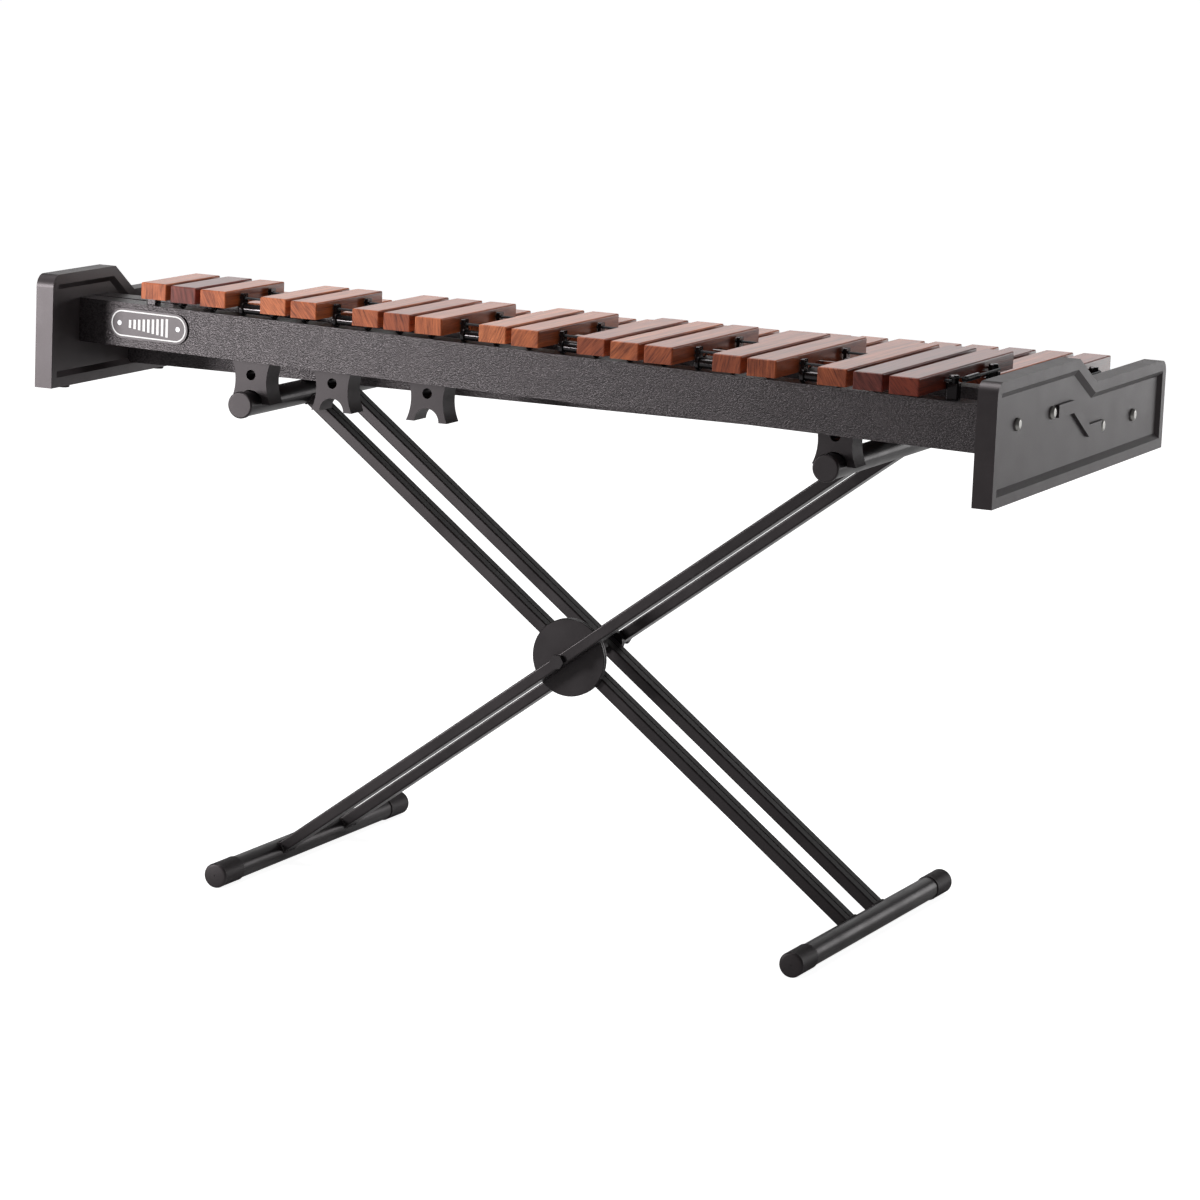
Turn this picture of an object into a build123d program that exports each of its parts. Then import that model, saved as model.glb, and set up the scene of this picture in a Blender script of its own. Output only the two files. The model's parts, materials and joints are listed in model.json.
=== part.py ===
"""Three-and-a-half octave table xylophone (F4 to C8) on a folding double X-stand.

Frame: +X runs towards the low notes, -Y is the audience side with the accidentals,
+Y is the player's side with the naturals, +Z is up. The origin is on the floor under
the middle of the bounding box. All sizes are in millimetres.
"""
from build123d import *
import math
import os

os.makedirs("parts", exist_ok=True)

# ---------------------------------------------------------------- driving dimensions
# keyboard: a bar's slot is its place along X, counted in natural pitches from the high end
PITCH = 48.0
MID_SLOT = 11.5
MID_X = 22.4
BAR_WIDTH = 37.5
BAR_THICK = 21.2
BAR_EDGE = 2.0
NODE_SHARE = 0.27          # the cord crosses each bar at this share of its length
MID_LENGTH = 232.2         # bar length at the middle slot
LENGTH_STEP = 7.89         # extra length for each slot towards the low end
ACC_NEAR_MID = -251.5      # audience-side end of an accidental at the middle slot
ACC_NEAR_STEP = -8.03
NAT_FAR_MID = 203.9        # player-side end of a natural at the middle slot
NAT_FAR_STEP = 6.557
ACC_TOP = 778.0
ROW_DROP = 32.6            # the naturals lie this much lower
ARCH_SHARE = 0.34          # tuning arch under a bar, as a share of the length
ARCH_DEPTH_SHARE = 0.028
HOLE_R = 2.6
CORD_R = 1.6

NATURAL_GROUPS = {
    "naturals_f4_to_b4": [23.5, 22.5, 21.5, 20.5],
    "naturals_c5_to_b5": [19.5 - n for n in range(7)],
    "naturals_c6_to_b6": [12.5 - n for n in range(7)],
    "naturals_c7_to_c8": [5.5 - n for n in range(8)],
}
ACCIDENTAL_GROUPS = {
    "accidentals_fs4_to_as4": [23, 22, 21],
    "accidentals_cs5_to_ds5": [19, 18],
    "accidentals_fs5_to_as5": [16, 15, 14],
    "accidentals_cs6_to_ds6": [12, 11],
    "accidentals_fs6_to_as6": [9, 8, 7],
    "accidentals_cs7_to_ds7": [5, 4],
    "accidentals_fs7_to_as7": [2, 1, 0],
}

# rails
RAIL_THICK = 36.0
POST_OFFSET = 8.0          # the cord lies this far outside a rail's centre line
RAIL_GAP = 12.4            # from a rail's top to the bars' underside
ACC_RAIL_HEIGHT = 57.2
NAT_RAIL_BOTTOM = 646.7

# end panels
PANEL_IN_X = 661.0
PANEL_THICK = 25.0
PANEL_BOTTOM = 632.0
PANEL_TOP = 779.5
PANEL_LOW_TOP = 744.7
PANEL_RIM = 13.0
PANEL_BEVEL = 7.0
PANEL_RECESS = 5.0
PANEL_CORNER_R = 16.0
LOW_PANEL_Y = (-332.5, -45.0, 24.0, 298.0)    # near edge, top of slope, foot of slope, far edge
HIGH_PANEL_Y = (-189.5, -32.0, 17.5, 152.0)
LOW_SCREWS_Y = (-248.0, -124.7, 62.5, 184.0)
HIGH_SCREWS_Y = (-97.0, -57.7, 31.0, 70.0)
ACC_SCREW_Z = 722.4
NAT_SCREW_Z = 686.0
SCREW_ZS = (ACC_SCREW_Z, ACC_SCREW_Z, NAT_SCREW_Z, NAT_SCREW_Z)
SCREW_HEAD_R = 8.0
SCREW_HEAD_H = 4.5
SCREW_DOME_R = 4.0
SCREW_SHANK_R = 2.5
SCREW_REACH = 34.0
FIT = 0.05
BAND_H = 15.5              # moulded step-shaped band on the panels' outer faces
BAND_RAISE = 3.8
BAND_SCREW_GAP = 1.0
BAND_SLOPE_SHARE = 0.333     # share of the way between the middle screws that the band slopes
BAND_SHIFT_SHARE = 0.3
TABLE_FOOT_R = 7.5
TABLE_FOOT_H = 3.0
TABLE_FOOT_EDGE = 0.8
TABLE_FOOT_INSET = 8.5      # from a panel's inner face to a foot's middle
LOW_FEET_Y = (-288.0, 250.0)
HIGH_FEET_Y = (-144.0, 100.0)

# cord posts
FLANGE_R = 9.2             # round flange that stands on the rail, between two bars
FLANGE_THICK = 5.0
FLANGE_EDGE = 1.2
CUP_R = 6.2                # hollow in the flange's outer side
CUP_DEPTH = 1.6
SPOOL_R = 6.4              # joins the two flanges of an open gap
POST_NECK_W = 4.6
POST_NECK_D = 12.0
POST_TIP = 6.0             # the neck ends this far above the cord
POST_TIP_R = 2.0
END_BLOCK = (15.5, 13.0)
END_BLOCK_EDGE = 2.5
END_BLOCK_UNDER = 3.2      # the block's top is this far under the cord
END_POST_R = 6.0
END_POST_EDGE = 1.0
END_CLEAR = 8.8            # from the last bar's edge to an end post's axis
TURN_R = END_POST_R + CORD_R + 0.2
SPRING_R = 4.0
SPRING_LENGTH = 48.0
SPRING_HOOK = 14.0
SPRING_WIRE_R = 1.2

# name plate
PLATE_X = -551.9
PLATE_Z = 718.0
PLATE_LENGTH = 125.0
PLATE_HEIGHT = 39.0
PLATE_THICK = 2.5
PLATE_SCREW_SPACING = 94.0
PLATE_SCREW_R = 3.2

# saddles that sit on the stand's top tubes
SADDLE_X = {"saddle_low_end": 405.0, "saddle_high_end": -405.0, "saddle_spare_outer": -287.0,
            "saddle_spare_inner": -151.0}
SADDLE_Y = -103.5
SADDLE_W = 58.0
SADDLE_WAIST = 45.0
SADDLE_D = 34.0
SADDLE_ARCH_R = 17.2
SADDLE_HOLE_R = 6.75
SADDLE_HOLE_Z = 666.6

# stand
STAND_Y = 82.0
HALF_SPAN = 405.0
FOOT_Z = 16.3
TOP_Z = 630.2
FOOT_HALF = 262.0
TOP_HALF = 230.7
FOOT_TUBE_R = 15.0
TOP_TUBE_R = 16.0
FOOT_CAP_R = 16.3
TOP_CAP_R = 17.3
CAP_END = 6.0
TOP_CAP_EDGE = 2.0
FOOT_CAP_SLEEVE = 46.0
TUBE_WALL = 1.6
ARM_W = 15.0               # in the plane of the fold
ARM_D = 30.0               # along Y
ARM_EDGE = 2.0
ARM_GROOVE_W = 2.4
ARM_GROOVE_DEPTH = 0.9
OUTER_ARM_Y = 87.0         # arm centre lines, from the middle of the stand
INNER_ARM_Y = 48.0
DISC_R = 51.0
DISC_THICK = 4.2
DISC_EDGE = 0.8
BOLT_R = 5.0
BOLT_HEAD_R = 9.8
BOLT_HEAD_H = 6.5
NUT_H = 8.0
SPACER_R = 15.0
PIVOT_PLAY = 0.4
SHANK_PAST_NUT = 2.0
PIVOT_Z = (FOOT_Z + TOP_Z) / 2
ARM_ANGLE = math.degrees(math.atan2(TOP_Z - FOOT_Z, 2 * HALF_SPAN))


STANDING = (Align.CENTER, Align.CENTER, Align.MIN)


# ---------------------------------------------------------------- layout
def slot_x(slot):
    return MID_X + PITCH * (slot - MID_SLOT)


def x_slot(x):
    return MID_SLOT + (x - MID_X) / PITCH


def bar_length(slot):
    return MID_LENGTH + LENGTH_STEP * (slot - MID_SLOT)


def accidental_near(slot):
    return ACC_NEAR_MID + ACC_NEAR_STEP * (slot - MID_SLOT)


def natural_near(slot):
    return NAT_FAR_MID + NAT_FAR_STEP * (slot - MID_SLOT) - bar_length(slot)


# each rail: which row it carries, which end of the bars, and the side its cord lies on
RAILS = {
    "rail_accidental_front": (accidental_near, NODE_SHARE, -1, 0.0),
    "rail_accidental_rear": (accidental_near, 1 - NODE_SHARE, 1, 0.0),
    "rail_natural_front": (natural_near, NODE_SHARE, -1, ROW_DROP),
    "rail_natural_rear": (natural_near, 1 - NODE_SHARE, 1, ROW_DROP),
}


def cord_y(rail, x):
    near, share, _, _ = RAILS[rail]
    return near(x_slot(x)) + share * bar_length(x_slot(x))


def rail_centre_y(rail, x):
    return cord_y(rail, x) - RAILS[rail][2] * POST_OFFSET


def cord_z(rail):
    return ACC_TOP - RAILS[rail][3] - BAR_THICK / 2


def rail_top(rail):
    return ACC_TOP - RAILS[rail][3] - BAR_THICK - RAIL_GAP


def rail_angle(rail):
    return math.degrees(math.atan2(cord_y(rail, PITCH) - cord_y(rail, 0.0), PITCH))


def save(node, solids):
    shape = solids[0] if len(solids) == 1 else Compound(children=solids)
    shape.label = node
    export_step(shape, "parts/" + node + ".step")


def along_x(radius, length, x, y, z, turn=0.0):
    """A round bar centred on (x, y, z), along X turned by an angle in the XY plane."""
    place = Location((x, y, z)) * Rotation(0, 0, turn) * Rotation(0, 90, 0)
    return place * Cylinder(radius, length)


def along_y(radius, length, x, y, z):
    """A round bar centred on (x, y, z), along Y."""
    return Location((x, y, z)) * Rotation(90, 0, 0) * Cylinder(radius, length)


def side_prism(sketch_face, x0, depth):
    """Extrude a face drawn in (Y, Z) from x0 towards +X by depth."""
    plane = Plane(origin=(x0, 0, 0), x_dir=(0, 1, 0), z_dir=(1, 0, 0))
    return extrude(plane * sketch_face, amount=depth)


def front_prism(sketch_face, y0, depth):
    """Extrude a face drawn in (X, Z) from y0 towards +Y by depth."""
    plane = Plane(origin=(0, y0, 0), x_dir=(1, 0, 0), z_dir=(0, -1, 0))
    return extrude(plane * sketch_face, amount=-depth)


# ---------------------------------------------------------------- bars
def bar_solid(slot, near, top, rails):
    length = bar_length(slot)
    bottom = top - BAR_THICK
    start = near(slot)
    arch_half = length * ARCH_SHARE / 2
    middle = start + length / 2
    rise = length * ARCH_DEPTH_SHARE
    with BuildSketch() as outline:
        with BuildLine():
            Polyline((middle - arch_half, bottom), (start, bottom), (start, top),
                     (start + length, top), (start + length, bottom), (middle + arch_half, bottom))
            ThreePointArc((middle + arch_half, bottom), (middle, bottom + rise),
                          (middle - arch_half, bottom))
        make_face()
    x = slot_x(slot)
    bar = side_prism(outline.sketch, x - BAR_WIDTH / 2, BAR_WIDTH)
    top_face = bar.faces().sort_by(Axis.Z)[-1]
    ends = bar.edges().filter_by(Axis.Z)
    bar = fillet(top_face.edges() + ends, BAR_EDGE)
    for rail in rails:
        hole = along_x(HOLE_R, BAR_WIDTH * 2, x, cord_y(rail, x), cord_z(rail), rail_angle(rail))
        bar -= hole
    return bar


def make_bars():
    acc_rails = ["rail_accidental_front", "rail_accidental_rear"]
    nat_rails = ["rail_natural_front", "rail_natural_rear"]
    for node, slots in ACCIDENTAL_GROUPS.items():
        save(node, [bar_solid(s, accidental_near, ACC_TOP, acc_rails) for s in slots])
    for node, slots in NATURAL_GROUPS.items():
        save(node, [bar_solid(s, natural_near, ACC_TOP - ROW_DROP, nat_rails) for s in slots])


# ---------------------------------------------------------------- end panels
def panel_outline(ys):
    near, slope_top, slope_foot, far = ys
    points = [(near, PANEL_BOTTOM), (near, PANEL_TOP), (slope_top, PANEL_TOP),
              (slope_foot, PANEL_LOW_TOP), (far, PANEL_LOW_TOP), (far, PANEL_BOTTOM)]
    face = make_face(Polyline(*points, close=True))
    corners = face.vertices()
    upper_near = [v for v in corners if v.X < near + 1 and v.Y > PANEL_TOP - 1]
    upper_far = [v for v in corners if v.X > far - 1 and v.Y > PANEL_LOW_TOP - 1]
    return fillet(upper_near + upper_far, PANEL_CORNER_R)


def panel_band(screws_y):
    """The raised step-shaped band, a face in (Y, Z) between a panel's two middle screws."""
    first, last = screws_y[1], screws_y[2]
    half = (last - first) * BAND_SLOPE_SHARE / 2
    middle = (first + last) / 2 + half * BAND_SHIFT_SHARE
    start = first + 2 * SCREW_HEAD_R
    top_edge = [(start, ACC_SCREW_Z), (middle - half, ACC_SCREW_Z),
                (middle + half, NAT_SCREW_Z), (last, NAT_SCREW_Z)]
    upper = [(y, z + BAND_H / 2) for y, z in top_edge]
    lower = [(y, z - BAND_H / 2) for y, z in reversed(top_edge)]
    band = make_face(Polyline(*upper, *lower, close=True))
    return band - Location((last, NAT_SCREW_Z)) * Circle(SCREW_HEAD_R + BAND_SCREW_GAP)


def panel_solid(side, ys, screws_y):
    outline = panel_outline(ys)
    inner_x = side * PANEL_IN_X
    outer_x = side * (PANEL_IN_X + PANEL_THICK)
    panel = side_prism(outline, min(inner_x, outer_x), PANEL_THICK)
    rim = offset(outline, -PANEL_RIM, kind=Kind.INTERSECTION)
    field = offset(outline, -(PANEL_RIM + PANEL_BEVEL), kind=Kind.INTERSECTION)
    for face_x, inward in ((inner_x, side), (outer_x, -side)):
        shallow = Plane(origin=(face_x, 0, 0), x_dir=(0, 1, 0), z_dir=(1, 0, 0)) * rim
        deep_x = face_x + inward * PANEL_RECESS
        deep = Plane(origin=(deep_x, 0, 0), x_dir=(0, 1, 0), z_dir=(1, 0, 0)) * field
        panel -= loft([shallow.faces()[0], deep.faces()[0]], ruled=True)
    field_x = outer_x - side * PANEL_RECESS
    band_x = min(field_x, field_x + side * BAND_RAISE)
    panel += side_prism(panel_band(screws_y), band_x, BAND_RAISE)
    for y, z in zip(screws_y, SCREW_ZS):
        panel -= along_x(SCREW_SHANK_R + FIT, PANEL_THICK * 3, outer_x, y, z)
    return panel


def panel_feet(side, feet_y):
    x = side * (PANEL_IN_X + TABLE_FOOT_INSET)
    feet = []
    for y in feet_y:
        place = Location((x, y, PANEL_BOTTOM - TABLE_FOOT_H / 2))
        foot = place * Cylinder(TABLE_FOOT_R, TABLE_FOOT_H)
        feet.append(chamfer(foot.edges().sort_by(Axis.Z)[0], TABLE_FOOT_EDGE))
    return feet


def panel_screws(side, screws_y):
    """Dome-headed screws through a panel into the ends of the four rails."""
    seat_x = side * (PANEL_IN_X + PANEL_THICK - PANEL_RECESS)
    screws = []
    for y, z in zip(screws_y, SCREW_ZS):
        head = along_x(SCREW_HEAD_R, SCREW_HEAD_H, seat_x + side * SCREW_HEAD_H / 2, y, z)
        rim = head.edges().filter_by(GeomType.CIRCLE).sort_by(Axis.X)
        head = fillet(rim[-1] if side > 0 else rim[0], SCREW_DOME_R)
        shank = along_x(SCREW_SHANK_R, SCREW_REACH, seat_x - side * SCREW_REACH / 2, y, z)
        screws.append(head + shank)
    return screws


def make_panels():
    low = panel_solid(1, LOW_PANEL_Y, LOW_SCREWS_Y)
    high = panel_solid(-1, HIGH_PANEL_Y, HIGH_SCREWS_Y)
    save("end_panel_low", [low])
    save("end_panel_high", [high])
    save("table_feet_low", panel_feet(1, LOW_FEET_Y))
    save("table_feet_high", panel_feet(-1, HIGH_FEET_Y))
    save("panel_screws_low", panel_screws(1, LOW_SCREWS_Y))
    save("panel_screws_high", panel_screws(-1, HIGH_SCREWS_Y))
    return low, high


# ---------------------------------------------------------------- rails, saddles, plate
def make_rails(panels):
    reach = PANEL_IN_X + PANEL_RECESS * 2
    for rail, (_, _, _, drop) in RAILS.items():
        top = rail_top(rail)
        bottom = NAT_RAIL_BOTTOM if drop else top - ACC_RAIL_HEIGHT
        y_low = rail_centre_y(rail, reach)
        y_high = rail_centre_y(rail, -reach)
        half = RAIL_THICK / 2
        plan = make_face(Polyline((-reach, y_high - half), (reach, y_low - half),
                                  (reach, y_low + half), (-reach, y_high + half), close=True))
        body = Location((0, 0, bottom)) * extrude(plan, amount=top - bottom)
        for panel in panels:
            body -= panel
        for side, screws_y in ((1, LOW_SCREWS_Y), (-1, HIGH_SCREWS_Y)):
            for y, z in zip(screws_y, SCREW_ZS):
                body -= along_x(SCREW_SHANK_R + FIT, 4 * SCREW_REACH, side * reach, y, z)
        save(rail, [body.solids().sort_by(SortBy.VOLUME)[-1]])


def saddle_solid(x):
    """A waisted block with a half-round arch for the stand's tube and a hole above it."""
    top = rail_top("rail_accidental_rear") - ACC_RAIL_HEIGHT
    half, waist = SADDLE_W / 2, SADDLE_WAIST / 2
    middle = (top + TOP_Z) / 2
    with BuildSketch() as front:
        with BuildLine():
            Line((x - half, top), (x + half, top))
            ThreePointArc((x + half, top), (x + waist, middle), (x + half, TOP_Z))
            Line((x + half, TOP_Z), (x + SADDLE_ARCH_R, TOP_Z))
            ThreePointArc((x + SADDLE_ARCH_R, TOP_Z), (x, TOP_Z + SADDLE_ARCH_R),
                          (x - SADDLE_ARCH_R, TOP_Z))
            Line((x - SADDLE_ARCH_R, TOP_Z), (x - half, TOP_Z))
            ThreePointArc((x - half, TOP_Z), (x - waist, middle), (x - half, top))
        make_face()
    block = front_prism(front.sketch, SADDLE_Y - SADDLE_D / 2, SADDLE_D)
    return block - along_y(SADDLE_HOLE_R, SADDLE_D * 2, x, SADDLE_Y, SADDLE_HOLE_Z)


def make_saddles():
    for node, x in SADDLE_X.items():
        save(node, [saddle_solid(x)])


def make_name_plate():
    """A stadium-shaped plate on the front rail's audience face, with two small screws."""
    rail = "rail_accidental_front"
    turn = rail_angle(rail)
    y = rail_centre_y(rail, PLATE_X) - RAIL_THICK / 2 / math.cos(math.radians(turn))
    place = Location((PLATE_X, y, PLATE_Z)) * Rotation(0, 0, turn) * Rotation(90, 0, 0)
    plate = extrude(SlotOverall(PLATE_LENGTH, PLATE_HEIGHT), amount=PLATE_THICK)
    screws = []
    for side in (-1, 1):
        centre = Location((side * PLATE_SCREW_SPACING / 2, 0, 0))
        plate -= centre * Cylinder(PLATE_SCREW_R, PLATE_THICK * 4)
        screw = Cylinder(PLATE_SCREW_R, PLATE_THICK, align=STANDING)
        screws.append(place * centre * screw)
    save("name_plate", [place * plate])
    save("name_plate_screws", screws)


# ---------------------------------------------------------------- posts, cords, springs
def neck_solid(rail, x):
    """The tab above a flange, with an eye for the cord."""
    y, base = cord_y(rail, x), rail_top(rail) + FLANGE_R
    height = cord_z(rail) + POST_TIP - base
    neck = Location((x, y, base)) * Box(POST_NECK_W, POST_NECK_D, height, align=STANDING)
    return fillet(neck.edges().filter_by(Axis.X).sort_by(Axis.Z)[-2:], POST_TIP_R)


def flange_solid(rail, x):
    """The round base of a post, hollowed on its low side."""
    y, z = cord_y(rail, x), rail_top(rail) + FLANGE_R
    flange = along_x(FLANGE_R, FLANGE_THICK, x, y, z)
    flange = fillet(flange.edges().filter_by(GeomType.CIRCLE), FLANGE_EDGE)
    face_x = x + FLANGE_THICK / 2
    return flange - along_x(CUP_R, 2 * CUP_DEPTH, face_x, y, z)


def post_solid(rail, xs):
    """A post, or the two posts of an open gap with the spool between them."""
    post = flange_solid(rail, xs[0]) + neck_solid(rail, xs[0])
    if len(xs) == 2:
        post += flange_solid(rail, xs[1]) + neck_solid(rail, xs[1])
        middle = sum(xs) / 2
        turn = rail_angle(rail)
        length = (xs[1] - xs[0]) / math.cos(math.radians(turn))
        z = rail_top(rail) + FLANGE_R
        post += along_x(SPOOL_R, length, middle, cord_y(rail, middle), z, turn)
    for x in xs:
        post -= along_x(HOLE_R, 2 * FLANGE_R, x, cord_y(rail, x), cord_z(rail), rail_angle(rail))
    return post


def end_post_solid(rail, x):
    """The block at a rail's end, with the round post that the cord turns around."""
    _, _, side, _ = RAILS[rail]
    y = cord_y(rail, x) - side * TURN_R
    top = rail_top(rail)
    block_h = cord_z(rail) - END_BLOCK_UNDER - top
    block = Location((x, y, top)) * Box(*END_BLOCK, block_h, align=STANDING)
    block = fillet(block.edges().filter_by(Axis.Z), END_BLOCK_EDGE)
    height = cord_z(rail) + POST_TIP - top
    peg = Location((x, y, top)) * Cylinder(END_POST_R, height, align=STANDING)
    return block + chamfer(peg.edges().sort_by(Axis.Z)[-1], END_POST_EDGE)


def row_ends(rail):
    """The X of the end posts at the low and the high end of a rail's row."""
    groups = NATURAL_GROUPS if RAILS[rail][3] else ACCIDENTAL_GROUPS
    slots = [s for group in groups.values() for s in group]
    reach = BAR_WIDTH / 2 + END_CLEAR
    return slot_x(max(slots)) + reach, slot_x(min(slots)) - reach


def make_posts():
    for rail, (_, _, _, drop) in RAILS.items():
        groups = NATURAL_GROUPS if drop else ACCIDENTAL_GROUPS
        low_x, high_x = row_ends(rail)
        posts = [end_post_solid(rail, low_x), end_post_solid(rail, high_x)]
        slots = sorted(s for group in groups.values() for s in group)
        for slot, following in zip(slots, slots[1:]):
            xs = [slot_x(slot + 0.5), slot_x(following - 0.5)]
            posts.append(post_solid(rail, xs[:1] if following - slot == 1 else xs))
        save("posts_" + rail.removeprefix("rail_"), posts)


def make_cord(front, rear, name):
    """One cord: from its spring across to the rear rail, along it, and back along the front."""
    low_x, high_x = row_ends(front)
    z = cord_z(front)
    low_run, high_run = low_x + TURN_R, high_x - TURN_R
    hook_y = cord_y(front, low_x) + TURN_R
    spring_start = hook_y + SPRING_HOOK
    route = [
        (low_run, spring_start + SPRING_LENGTH),
        (low_run, cord_y(rear, low_run)),
        (high_run, cord_y(rear, high_run)),
        (high_run, cord_y(front, high_run)),
        (low_x, cord_y(front, low_x)),
    ]
    path = FilletPolyline(*[(x, y, z) for x, y in route], radius=TURN_R)
    start = Plane(origin=(low_run, route[0][1], z), z_dir=(0, 1, 0))
    cord = sweep(start * Circle(CORD_R), path=path)
    print(name, "length", round(path.length, 1), "turn radius", TURN_R,
          "volume ratio", round(cord.volume / (math.pi * CORD_R ** 2 * path.length), 4))
    save("cord_" + name, [cord])
    coil = along_y(SPRING_R, SPRING_LENGTH, low_run, spring_start + SPRING_LENGTH / 2, z)
    hook_x = low_x + END_POST_R + SPRING_WIRE_R
    hook = along_y(SPRING_WIRE_R, SPRING_HOOK, hook_x, hook_y + SPRING_HOOK / 2, z)
    save("cord_spring_" + name, [coil + hook])


# ---------------------------------------------------------------- stand
def round_tube(radius, half, x, z):
    tube = along_y(radius, 2 * half, x, STAND_Y, z)
    return tube - along_y(radius - TUBE_WALL, 2 * half + 2, x, STAND_Y, z)


def foot_caps(x):
    caps = []
    for side in (-1, 1):
        end_y = STAND_Y + side * FOOT_HALF
        length = CAP_END + FOOT_CAP_SLEEVE
        cap = along_y(FOOT_CAP_R, length, x, end_y - side * length / 2, FOOT_Z)
        sleeve_y = end_y - side * (CAP_END + FOOT_CAP_SLEEVE / 2)
        caps.append(cap - along_y(FOOT_TUBE_R, FOOT_CAP_SLEEVE, x, sleeve_y, FOOT_Z))
    return caps


def top_caps(x):
    caps = []
    for side in (-1, 1):
        end_y = STAND_Y + side * TOP_HALF
        disc = along_y(TOP_CAP_R, CAP_END, x, end_y - side * CAP_END / 2, TOP_Z)
        rim = disc.edges().filter_by(GeomType.CIRCLE).sort_by(Axis.Y)
        caps.append(fillet(rim[0] if side < 0 else rim[-1], TOP_CAP_EDGE))
    return caps


def arm_solid(lean, y, bolt_hole_r):
    """A hollow arm, grooved on top, from foot tube to top tube; lean is +1 or -1 in X."""
    length = math.hypot(2 * HALF_SPAN, TOP_Z - FOOT_Z)
    bar = Box(length, ARM_D, ARM_W)
    bar = fillet(bar.edges().filter_by(Axis.X), ARM_EDGE)
    bar -= Box(length, ARM_D - 2 * TUBE_WALL, ARM_W - 2 * TUBE_WALL)
    bar -= Location((0, 0, ARM_W / 2)) * Box(length, ARM_GROOVE_W, 2 * ARM_GROOVE_DEPTH)
    bar = Location((0, y, PIVOT_Z)) * Rotation(0, -lean * ARM_ANGLE, 0) * bar
    bar -= along_y(FOOT_TUBE_R, ARM_D * 2, -lean * HALF_SPAN, y, FOOT_Z)
    bar -= along_y(TOP_TUBE_R, ARM_D * 2, lean * HALF_SPAN, y, TOP_Z)
    bar -= along_y(bolt_hole_r, ARM_D * 2, 0, y, PIVOT_Z)
    return bar.solids().sort_by(SortBy.VOLUME)[-1]


def pivot_disc(y, hole_r):
    disc = along_y(DISC_R, DISC_THICK, 0, y, PIVOT_Z)
    disc = chamfer(disc.edges().filter_by(GeomType.CIRCLE), DISC_EDGE)
    return disc - along_y(hole_r, DISC_THICK * 2, 0, y, PIVOT_Z)


def hexagon_prism(y, thick):
    face = RegularPolygon(BOLT_HEAD_R, 6)
    return front_prism(Location((0, PIVOT_Z, 0)) * face, y, thick)


def make_leg_frame(name, lean, arm_offset, bolt_hole_r):
    tube_x = {"foot": -lean * HALF_SPAN, "top": lean * HALF_SPAN}
    save(name + "_foot_tube", [round_tube(FOOT_TUBE_R, FOOT_HALF - CAP_END, tube_x["foot"], FOOT_Z)])
    save(name + "_foot_caps", foot_caps(tube_x["foot"]))
    save(name + "_top_tube", [round_tube(TOP_TUBE_R, TOP_HALF - CAP_END, tube_x["top"], TOP_Z)])
    save(name + "_top_caps", top_caps(tube_x["top"]))
    save(name + "_arm_near", [arm_solid(lean, STAND_Y - arm_offset, bolt_hole_r)])
    save(name + "_arm_far", [arm_solid(lean, STAND_Y + arm_offset, bolt_hole_r)])


def make_pivots():
    outer_face = OUTER_ARM_Y - ARM_D / 2
    inner_face = INNER_ARM_Y + ARM_D / 2
    save("outer_pivot_disc", [pivot_disc(STAND_Y - outer_face + DISC_THICK / 2, BOLT_R + FIT / 2)])
    save("inner_pivot_disc", [pivot_disc(STAND_Y - inner_face - DISC_THICK / 2, BOLT_R + FIT)])
    gap = outer_face - inner_face
    spacer_y = STAND_Y + outer_face - (gap - PIVOT_PLAY) / 2
    spacer = along_y(SPACER_R, gap - PIVOT_PLAY, 0, spacer_y, PIVOT_Z)
    save("pivot_spacer", [spacer - along_y(BOLT_R + FIT / 2, gap * 2, 0, spacer_y, PIVOT_Z)])
    bolts = []
    nuts = []
    for side in (-1, 1):
        head_y = STAND_Y + side * (OUTER_ARM_Y + ARM_D / 2)
        nut_y = STAND_Y + side * (INNER_ARM_Y - ARM_D / 2 - PIVOT_PLAY)
        past = NUT_H + SHANK_PAST_NUT
        middle_y = (head_y + nut_y - side * past) / 2
        shank = along_y(BOLT_R, abs(head_y - nut_y) + past, 0, middle_y, PIVOT_Z)
        head = hexagon_prism(min(head_y, head_y + side * BOLT_HEAD_H), BOLT_HEAD_H)
        bolts.append(head + shank)
        nut = hexagon_prism(min(nut_y, nut_y - side * NUT_H), NUT_H)
        nuts.append(nut - along_y(BOLT_R, NUT_H * 3, 0, nut_y, PIVOT_Z))
    save("pivot_bolts", bolts)
    save("pivot_nuts", nuts)


# ---------------------------------------------------------------- build everything
make_bars()
make_rails(make_panels())
make_saddles()
make_name_plate()
make_posts()
make_cord("rail_accidental_front", "rail_accidental_rear", "accidentals")
make_cord("rail_natural_front", "rail_natural_rear", "naturals")
make_leg_frame("outer", 1, OUTER_ARM_Y, BOLT_R + FIT / 2)
make_leg_frame("inner", -1, INNER_ARM_Y, BOLT_R + FIT)
make_pivots()
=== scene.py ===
"""Looks for the table xylophone on its folding stand: materials, cords, springs, trim, light, camera.

Everything is in metres in the part's own frame: +X towards the low notes, -Y the audience side,
+Z up, origin on the floor.
"""

import json
import math
import random

import bpy
from mathutils import Matrix, Vector


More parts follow.
